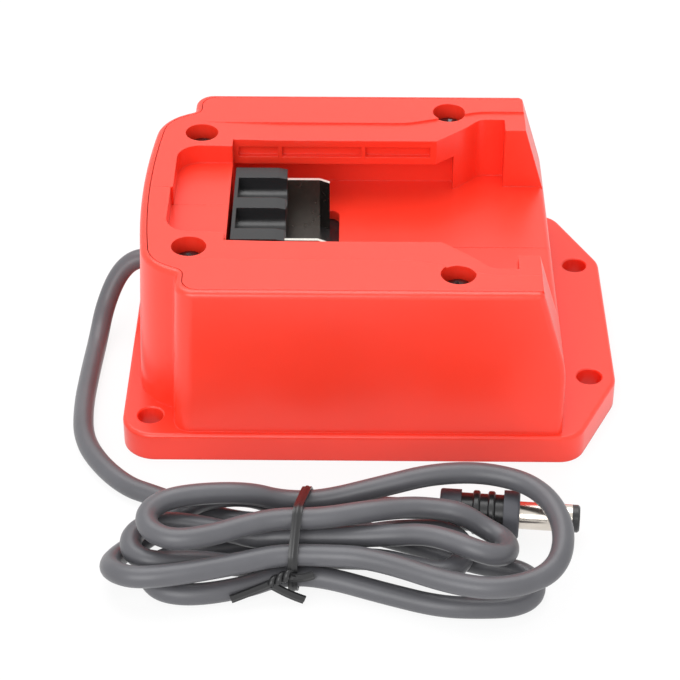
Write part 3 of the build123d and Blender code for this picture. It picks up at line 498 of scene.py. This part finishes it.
class DOCK_OT_cable(Operator):
    """Lay the cable: out of the wall, down to the table, through the hank and to the plug."""

    bl_idname = "dock.cable"
    bl_label = "Cable"

    def execute(self, context):
        settings = context.scene.cable_settings
        curve = nurbs_route("cable", LEAD_POINTS + hank_route() + TAIL_POINTS)
        length = spline_length(curve)
        curve.bevel_depth = settings.diameter / 2
        curve.bevel_resolution = settings.smoothness
        curve.use_fill_caps = True
        cable = bpy.data.objects.new("cable", curve)
        context.scene.collection.objects.link(cable)
        cable.data.materials.append(FINISHES["cable"])
        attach(cable, BODY)
        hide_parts("cable_lead", "cable_hank", "cable_tail")
        on_cable = [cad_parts[node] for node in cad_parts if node.startswith("plug_")]
        on_cable.append(MADE["tie"])
        return {"FINISHED"}


# Twist tie

def waist_outline(grow, steps=16):
    """Closed outline in Y and Z that a band takes round all strands at the waist."""
    radius = bpy.context.scene.cable_settings.diameter / 2 + grow
    rounds = []
    for y, z in WAIST_PLACES:
        for step in range(steps):
            angle = tau * step / steps
            rounds.append((HANK_Y + y + radius * cos(angle), z + radius * sin(angle)))
    rounds.sort()

    def half(places):
        """The outline's lower or upper side, without the places that lie inside it."""
        chain = []
        for place in places:
            while len(chain) > 1:
                (ay, az), (by, bz) = chain[-2], chain[-1]
                if (by - ay) * (place[1] - az) - (bz - az) * (place[0] - ay) > 0:
                    break
                chain.pop()
            chain.append(place)
        return chain[:-1]

    return half(rounds) + half(rounds[::-1])


def strip_section(width, thickness, wing_share=0.30, core_share=0.22):
    """Cross-section of a coated tie: thin flat wings and a rounder core over the wire."""
    wing = thickness * wing_share
    core = width * core_share
    flat = core * 0.5
    half = width / 2
    top = thickness / 2
    return [
        (-half, -wing), (-core, -wing), (-flat, -top), (flat, -top), (core, -wing), (half, -wing),
        (half, wing), (core, wing), (flat, top), (-flat, top), (-core, wing), (-half, wing),
    ]


def sweep_strip(shape, places, across, section, closed):
    """Sweeps a strip's section along places; across gives the width's direction at each."""
    rings = []
    count = len(places)
    for index, place in enumerate(places):
        before = places[index - 1] if closed or index > 0 else place
        after = places[(index + 1) % count] if closed or index < count - 1 else place
        along = (after - before).normalized()
        side = (across[index] - along * across[index].dot(along)).normalized()
        up = along.cross(side)
        rings.append([shape.verts.new(place + side * u + up * v) for u, v in section])
    sides = len(section)
    for index in range(count if closed else count - 1):
        ring, following = rings[index], rings[(index + 1) % count]
        for edge in range(sides):
            other = (edge + 1) % sides
            shape.faces.new((ring[edge], ring[other], following[other], following[edge]))
    if not closed:
        shape.faces.new(rings[0][::-1])
        shape.faces.new(rings[-1])


def curved(points, steps):
    """Places along the parabola that starts at the first point and ends at the last."""
    first, middle, last = (Vector(point) for point in points)
    places = []
    for step in range(steps + 1):
        share = step / steps
        places.append(first * (1 - share) ** 2 + middle * 2 * share * (1 - share)
                      + last * share ** 2)
    return places


def twist_tree(material):
    """Geometry nodes: two strands wound round each other along Z."""
    tree = bpy.data.node_groups.new("Twisted pair", "GeometryNodeTree")
    face = tree.interface
    for name, default in (("Turns", 1.5), ("Pitch radius", 0.0006), ("Length", 0.005),
                          ("Strand radius", 0.0006)):
        face.new_socket(name, in_out="INPUT", socket_type="NodeSocketFloat").default_value = default
    face.new_socket("Twist", in_out="OUTPUT", socket_type="NodeSocketGeometry")
    nodes, links = tree.nodes, tree.links
    given = nodes.new("NodeGroupInput")
    result = nodes.new("NodeGroupOutput")
    spiral = nodes.new("GeometryNodeCurveSpiral")
    spiral.inputs["Resolution"].default_value = 40
    profile = nodes.new("GeometryNodeCurvePrimitiveCircle")
    profile.inputs["Resolution"].default_value = 14
    strand = nodes.new("GeometryNodeCurveToMesh")
    strand.inputs["Fill Caps"].default_value = True
    turned = nodes.new("GeometryNodeTransform")
    turned.inputs["Rotation"].default_value = (0.0, 0.0, pi)
    both = nodes.new("GeometryNodeJoinGeometry")
    single = nodes.new("GeometryNodeRealizeInstances")
    coat = nodes.new("GeometryNodeSetMaterial")
    coat.inputs["Material"].default_value = material
    links.new(given.outputs["Turns"], spiral.inputs["Rotations"])
    links.new(given.outputs["Pitch radius"], spiral.inputs["Start Radius"])
    links.new(given.outputs["Pitch radius"], spiral.inputs["End Radius"])
    links.new(given.outputs["Length"], spiral.inputs["Height"])
    links.new(given.outputs["Strand radius"], profile.inputs["Radius"])
    links.new(spiral.outputs["Curve"], strand.inputs["Curve"])
    links.new(profile.outputs["Curve"], strand.inputs["Profile Curve"])
    links.new(strand.outputs["Mesh"], turned.inputs["Geometry"])
    links.new(strand.outputs["Mesh"], both.inputs["Geometry"])
    links.new(turned.outputs["Geometry"], both.inputs["Geometry"])
    links.new(both.outputs["Geometry"], single.inputs["Geometry"])
    links.new(single.outputs["Geometry"], coat.inputs["Geometry"])
    links.new(coat.outputs["Geometry"], result.inputs["Twist"])
    return tree


def mesh_from_tree(name, tree, values, places=()):
    """Plain mesh that a geometry node tree gives for its named inputs, on places if it has any."""
    points = bpy.data.meshes.new(name)
    points.from_pydata(places, [], [])
    holder = bpy.data.objects.new(name, points)
    bpy.context.scene.collection.objects.link(holder)
    modifier = holder.modifiers.new("tree", "NODES")
    modifier.node_group = tree
    for socket in tree.interface.items_tree:
        if socket.item_type == "SOCKET" and socket.in_out == "INPUT" and socket.name in values:
            modifier[socket.identifier] = values[socket.name]
    graph = bpy.context.evaluated_depsgraph_get()
    mesh = bpy.data.meshes.new_from_object(holder.evaluated_get(graph))
    bpy.data.objects.remove(holder)
    return mesh


class DOCK_OT_twist_tie(Operator):
    """Wind the coated tie round the hank's waist and twist its ends."""

    bl_idname = "dock.twist_tie"
    bl_label = "Twist tie"

    def execute(self, context):
        settings = context.scene.cable_settings
        section = strip_section(settings.tie_width, settings.tie_thickness)
        shape = bmesh.new()
        outline = waist_outline(settings.tie_slack + settings.tie_thickness / 2)
        width = max(y for y, z in outline) - min(y for y, z in outline)
        band = [Vector((TIE_X + TIE_LEAN * (y - HANK_Y) / width, y, z)) for y, z in outline]
        sweep_strip(shape, band, [Vector((1, 0, 0))] * len(band), section, closed=True)
        for tail in TIE_TAILS:
            places = curved(tail, 8)
            sweep_strip(shape, places, [Vector((0, 0, 1))] * len(places), section, closed=False)
        way = Vector(TWIST_END) - Vector(TWIST_START)
        pair = mesh_from_tree("twisted_pair", twist_tree(FINISHES["tie"]), {
            "Turns": settings.twist_turns, "Length": way.length,
            "Pitch radius": settings.tie_width * settings.twist_pitch,
            "Strand radius": settings.tie_width * settings.twist_strand,
        })
        pair.transform(Matrix.Translation(TWIST_START)
                       @ way.to_track_quat("Z", "Y").to_matrix().to_4x4())
        shape.from_mesh(pair)
        bpy.data.meshes.remove(pair)
        tie = smooth_object("cable_tie", shape)
        give(tie, FINISHES["tie"])
        MADE["tie"] = tie
        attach(tie, BODY)
        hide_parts("twist_tie")
        return {"FINISHED"}


# Deck screws

def turned_shape(profile, sides):
    """Closed shape turned about Z from radii and heights that start and end on the axis."""
    shape = bmesh.new()
    rings = []
    for radius, height in profile:
        if radius == 0.0:
            rings.append([shape.verts.new((0, 0, height))])
        else:
            rings.append([shape.verts.new((radius * cos(tau * side / sides),
                                           radius * sin(tau * side / sides), height))
                          for side in range(sides)])
    for upper, lower in zip(rings, rings[1:]):
        for side in range(sides):
            other = (side + 1) % sides
            corners = []
            for corner in (upper[side % len(upper)], lower[side % len(lower)],
                           lower[other % len(lower)], upper[other % len(upper)]):
                if corner not in corners:
                    corners.append(corner)
            shape.faces.new(corners)
    return shape


def crossed_wedges():
    """Two crossed wedges that cut the recess into a screw's head."""
    shape = bmesh.new()
    levels = ((HEAD_HEIGHT + CUT_SPARE, RECESS_ARM, RECESS_TOP_HALF),
              (HEAD_HEIGHT - RECESS_DEPTH, RECESS_ARM * RECESS_FOOT_SHARE, RECESS_FOOT_HALF))
    for crosswise in (False, True):
        ends = []
        for height, reach, half in levels:
            sides = [(reach * along, half * across)
                     for along, across in ((-1, -1), (1, -1), (1, 1), (-1, 1))]
            ends.append([shape.verts.new((y, x, height) if crosswise else (x, y, height))
                         for x, y in sides])
        top, foot = ends
        shape.faces.new(top)
        shape.faces.new(foot[::-1])
        for side in range(4):
            other = (side + 1) % 4
            shape.faces.new((top[side], foot[side], foot[other], top[other]))
    return shape


def screw_mesh(name):
    """One cross-recessed pan-head screw, with its seat at the origin."""
    crown = [(radius, HEAD_HEIGHT * share) for radius, share in HEAD_CROWN]
    profile = [(0.0, HEAD_HEIGHT), *crown, (HEAD_RADIUS, 0.0), (SHANK_RADIUS, 0.0),
               (SHANK_RADIUS, TIP_LENGTH - SCREW_LENGTH), (TIP_RADIUS, -SCREW_LENGTH),
               (0.0, -SCREW_LENGTH)]
    screw = plain_object(name, turned_shape(profile, SCREW_SIDES))
    cutter = plain_object("recess", crossed_wedges())
    cut = screw.modifiers.new("recess", "BOOLEAN")
    cut.operation = "DIFFERENCE"
    cut.solver = "EXACT"
    cut.use_self = True
    cut.object = cutter
    graph = bpy.context.evaluated_depsgraph_get()
    result = bpy.data.meshes.new_from_object(screw.evaluated_get(graph))
    bpy.data.objects.remove(screw)
    bpy.data.objects.remove(cutter)
    return result


def screw_tree(screw, material):
    """Geometry nodes: one screw on each point, turned a little differently."""
    tree = bpy.data.node_groups.new("Screws on places", "GeometryNodeTree")
    face = tree.interface
    face.new_socket("Places", in_out="INPUT", socket_type="NodeSocketGeometry")
    face.new_socket("Seat height", in_out="INPUT", socket_type="NodeSocketFloat")
    face.new_socket("Turn spread", in_out="INPUT", socket_type="NodeSocketFloat")
    face.new_socket("Screws", in_out="OUTPUT", socket_type="NodeSocketGeometry")
    nodes, links = tree.nodes, tree.links
    given = nodes.new("NodeGroupInput")
    result = nodes.new("NodeGroupOutput")
    one = nodes.new("GeometryNodeObjectInfo")
    one.inputs["Object"].default_value = screw
    turn = nodes.new("FunctionNodeRandomValue")
    turn.data_type = "FLOAT"
    turn.inputs["Seed"].default_value = 4
    turned = nodes.new("ShaderNodeCombineXYZ")
    lift = nodes.new("ShaderNodeCombineXYZ")
    move = nodes.new("GeometryNodeSetPosition")
    spread = nodes.new("GeometryNodeInstanceOnPoints")
    single = nodes.new("GeometryNodeRealizeInstances")
    coat = nodes.new("GeometryNodeSetMaterial")
    coat.inputs["Material"].default_value = material
    links.new(given.outputs["Places"], move.inputs["Geometry"])
    links.new(given.outputs["Seat height"], lift.inputs["Z"])
    links.new(lift.outputs["Vector"], move.inputs["Offset"])
    links.new(move.outputs["Geometry"], spread.inputs["Points"])
    links.new(one.outputs["Geometry"], spread.inputs["Instance"])
    links.new(given.outputs["Turn spread"], turn.inputs["Max"])
    links.new(turn.outputs["Value"], turned.inputs["Z"])
    links.new(turned.outputs["Vector"], spread.inputs["Rotation"])
    links.new(spread.outputs["Instances"], single.inputs["Geometry"])
    links.new(single.outputs["Geometry"], coat.inputs["Geometry"])
    links.new(coat.outputs["Geometry"], result.inputs["Screws"])
    return tree


class DOCK_OT_deck_screws(Operator):
    """Seat the four dark cross-recessed screws at the bottom of their counterbores."""

    bl_idname = "dock.deck_screws"
    bl_label = "Deck screws"

    def execute(self, context):
        one = bpy.data.objects.new("one_screw", screw_mesh("one_screw"))
        context.scene.collection.objects.link(one)
        mesh = mesh_from_tree("screw_places", screw_tree(one, FINISHES["deck_screws"]),
                              {"Seat height": SCREW_SEAT_Z, "Turn spread": pi / 2},
                              places=[(x, y, 0.0) for x, y in SCREW_PLACES])
        bpy.data.objects.remove(one)
        mesh.shade_smooth()
        mesh.set_sharp_from_angle(angle=radians(35))
        screws = bpy.data.objects.new("deck_screw_set", mesh)
        context.scene.collection.objects.link(screws)
        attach(screws, BODY)
        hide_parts(*(f"deck_screw_{number}" for number in range(1, 5)))
        return {"FINISHED"}


class DOCK_OT_finishes(Operator):
    """Give every carried-over CAD node its plastic, metal or jacket."""

    bl_idname = "dock.finishes"
    bl_label = "Finishes"

    def execute(self, context):
        scene = context.scene
        FINISHES.update(make_finishes(scene.dock_finishes, scene.cable_settings))
        for node, finish in NODE_FINISHES.items():
            give(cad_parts[node], FINISHES[finish])
        return {"FINISHED"}


# Stage

def look_only_white(tree, lit, factor):
    """Mixes plain white into a lit surface, for the camera, reflections and glass only."""
    nodes, links = tree.nodes, tree.links
    path = nodes.new("ShaderNodeLightPath")
    seen = nodes.new("ShaderNodeMath")
    seen.operation = "MAXIMUM"
    seen_all = nodes.new("ShaderNodeMath")
    seen_all.operation = "MAXIMUM"
    share = nodes.new("ShaderNodeMath")
    share.operation = "MULTIPLY"
    share.inputs[1].default_value = factor
    white = nodes.new("ShaderNodeEmission")
    white.inputs["Color"].default_value = WHITE
    white.inputs["Strength"].default_value = 1.0
    mix = nodes.new("ShaderNodeMixShader")
    links.new(path.outputs["Is Camera Ray"], seen.inputs[0])
    links.new(path.outputs["Is Glossy Ray"], seen.inputs[1])
    links.new(seen.outputs[0], seen_all.inputs[0])
    links.new(path.outputs["Is Transmission Ray"], seen_all.inputs[1])
    links.new(seen_all.outputs[0], share.inputs[0])
    links.new(share.outputs[0], mix.inputs["Fac"])
    links.new(lit, mix.inputs[1])
    links.new(white.outputs["Emission"], mix.inputs[2])
    return mix.outputs["Shader"]


def softbox(name, place, power):
    """Square area light at a place, aimed at the object."""
    light = bpy.data.lights.new(name, "AREA")
    light.shape = "SQUARE"
    light.size = SOFTBOX_SIZE
    light.energy = power
    lamp = bpy.data.objects.new(name, light)
    lamp.location = place
    aim = Vector(STAGE_TARGET) - Vector(place)
    lamp.rotation_euler = aim.to_track_quat("-Z", "Y").to_euler()
    bpy.context.scene.collection.objects.link(lamp)


def lay_floor(scene, white_share):
    """Plain floor that the camera sees as almost white, and that keeps a faint shadow."""
    reach = FLOOR_REACH
    mesh = bpy.data.meshes.new("floor")
    mesh.from_pydata([(-reach, -reach, 0), (reach, -reach, 0), (reach, reach, 0),
                      (-reach, reach, 0)], [], [(0, 1, 2, 3)])
    floor = bpy.data.objects.new("floor", mesh)
    scene.collection.objects.link(floor)
    material = bpy.data.materials.new("floor")
    material.use_nodes = True
    tree = material.node_tree
    tree.nodes.clear()
    matt = tree.nodes.new("ShaderNodeBsdfDiffuse")
    matt.inputs["Color"].default_value = FLOOR_COLOUR
    output = tree.nodes.new("ShaderNodeOutputMaterial")
    seen = look_only_white(tree, matt.outputs["BSDF"], white_share)
    tree.links.new(seen, output.inputs["Surface"])
    mesh.materials.append(material)


def light_room(scene, level):
    """Even light from all round, with white behind the object."""
    world = bpy.data.worlds.new("studio")
    scene.world = world
    world.use_nodes = True
    tree = world.node_tree
    tree.nodes.clear()
    room = tree.nodes.new("ShaderNodeBackground")
    room.inputs["Color"].default_value = WHITE
    room.inputs["Strength"].default_value = level
    output = tree.nodes.new("ShaderNodeOutputWorld")
    seen = look_only_white(tree, room.outputs["Background"], 1.0)
    tree.links.new(seen, output.inputs["Surface"])


def set_camera(scene):
    """Camera where the photograph was taken from."""
    camera = bpy.data.cameras.new("camera")
    camera.sensor_fit = "HORIZONTAL"
    camera.angle = CAMERA_FIELD
    camera.clip_start = 0.01
    camera.clip_end = 20.0
    viewer = bpy.data.objects.new("camera", camera)
    look = Vector((sin(CAMERA_YAW) * cos(CAMERA_PITCH), cos(CAMERA_YAW) * cos(CAMERA_PITCH),
                   -sin(CAMERA_PITCH)))
    viewer.location = CAMERA_PLACE
    turn = look.to_track_quat("-Z", "Y").to_matrix() @ Matrix.Rotation(CAMERA_ROLL, 3, "Z")
    viewer.rotation_euler = turn.to_euler()
    scene.collection.objects.link(viewer)
    scene.camera = viewer


class DOCK_OT_stage(Operator):
    """Set the white floor, the soft studio light and the photograph's camera."""

    bl_idname = "dock.stage"
    bl_label = "Stage"

    def execute(self, context):
        scene = context.scene
        settings = scene.stage_settings
        lay_floor(scene, settings.floor_white)
        light_room(scene, settings.world_level)
        softbox("key_light", KEY_PLACE, settings.key_power)
        softbox("fill_light", FILL_PLACE, settings.fill_power)
        set_camera(scene)
        scene.view_settings.view_transform = "Standard"
        return {"FINISHED"}


class DOCK_PT_panel(Panel):
    """Pieces and stage of the battery dock."""

    bl_label = "Battery dock"
    bl_idname = "DOCK_PT_panel"
    bl_space_type = "VIEW_3D"
    bl_region_type = "UI"
    bl_category = "Battery dock"

    def draw(self, context):
        scene = context.scene
        for settings in (scene.dock_finishes, scene.cable_settings, scene.stage_settings):
            box = self.layout.box()
            for name in settings.__annotations__:
                box.prop(settings, name)
        for step in STEPS:
            self.layout.operator(step.bl_idname)


STEPS = (DOCK_OT_finishes, DOCK_OT_twist_tie, DOCK_OT_cable, DOCK_OT_deck_screws, DOCK_OT_stage)
SETTINGS = {"dock_finishes": DockFinishes, "cable_settings": CableSettings,
            "stage_settings": StageSettings}


def register():
    """Registers the settings, the steps and the panel."""
    for name, group in SETTINGS.items():
        bpy.utils.register_class(group)
        setattr(bpy.types.Scene, name, PointerProperty(type=group))
    for step in STEPS:
        bpy.utils.register_class(step)
    bpy.utils.register_class(DOCK_PT_panel)


def unregister():
    """Takes back what register did."""
    bpy.utils.unregister_class(DOCK_PT_panel)
    for step in reversed(STEPS):
        bpy.utils.unregister_class(step)
    for name, group in SETTINGS.items():
        delattr(bpy.types.Scene, name)
        bpy.utils.unregister_class(group)


def main():
    """Runs every step in order."""
    register()
    bpy.ops.dock.finishes()
    bpy.ops.dock.twist_tie()
    bpy.ops.dock.cable()
    bpy.ops.dock.deck_screws()
    bpy.ops.dock.stage()


if __name__ == "__main__":
    main()
